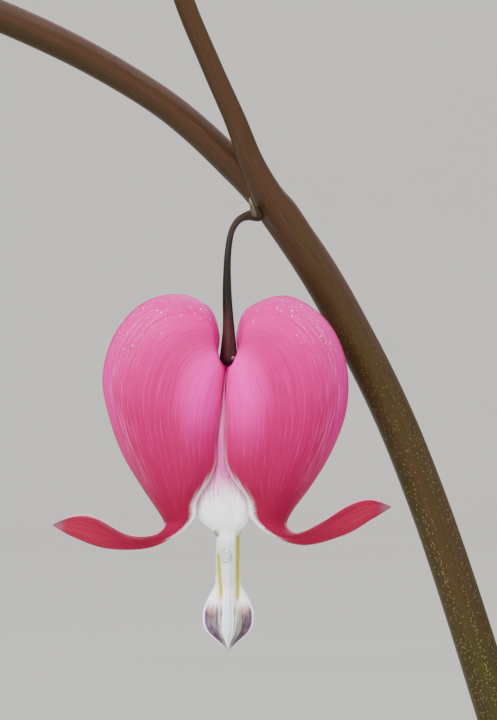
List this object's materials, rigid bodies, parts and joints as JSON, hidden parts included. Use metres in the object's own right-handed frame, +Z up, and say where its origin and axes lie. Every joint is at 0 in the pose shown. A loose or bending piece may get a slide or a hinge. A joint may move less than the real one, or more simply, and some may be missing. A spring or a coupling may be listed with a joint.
{
  "type": "potted bleeding heart plant",
  "caption": "Bleeding heart plant in a plain clay pot: arching leafy stems hung with pink heart-shaped flowers over divided leaves.",
  "frame": {"origin": "middle of the pot's flat underside, on the surface that it stands on", "axes": "+Z up; -Y towards the side that the large flower is seen from; +X to the right of that view"},
  "size_m": [0.4549, 0.3954, 0.4169],
  "materials": {
    "clay": "unglazed terracotta, dry and slightly chalky",
    "soil": "loose dark potting compost",
    "stem": "smooth juicy stem, olive and maroon with fine pale specks",
    "leaf": "thin matt leaf with pale veins",
    "outer_petal": "satin pink petal with fine veins",
    "inner_petal": "moist white petal with purple tip",
    "stamen": "yellow filaments"
  },
  "bodies": {
    "root": {"pot": "clay", "soil": "soil", "flower_stalk": "stem", "bract": "stem", "left_outer_petal": "outer_petal", "right_outer_petal": "outer_petal", "front_inner_petal": "inner_petal", "back_inner_petal": "inner_petal", "left_stamens": "stamen", "right_stamens": "stamen", "pistil": "stamen", "stem_1": "stem", "buds_1": "outer_petal", "heart_1_1": "outer_petal", "heart_1_2": "outer_petal", "heart_1_3": "outer_petal", "heart_1_4": "outer_petal", "heart_1_5": "outer_petal", "stem_2": "stem", "buds_2": "outer_petal", "heart_2_1": "outer_petal", "heart_2_2": "outer_petal", "heart_2_3": "outer_petal", "heart_2_4": "outer_petal", "heart_2_5": "outer_petal", "heart_2_6": "outer_petal", "stem_3": "stem", "buds_3": "outer_petal", "heart_3_1": "outer_petal", "heart_3_2": "outer_petal", "heart_3_3": "outer_petal", "heart_3_4": "outer_petal", "stem_4": "stem", "buds_4": "outer_petal", "heart_4_1": "outer_petal", "heart_4_2": "outer_petal", "heart_4_3": "outer_petal", "leaf_01": "leaf", "leaf_02": "leaf", "leaf_03": "leaf", "leaf_04": "leaf", "leaf_05": "leaf", "leaf_06": "leaf", "leaf_07": "leaf", "leaf_08": "leaf", "leaf_09": "leaf", "leaf_10": "leaf", "leaf_11": "leaf", "leaf_12": "leaf", "leaf_13": "leaf", "leaf_14": "leaf", "leaf_15": "leaf", "leaf_16": "leaf", "leaf_17": "leaf", "leaf_18": "leaf", "leaf_19": "leaf", "leaf_20": "leaf"}
  },
  "joints": []
}
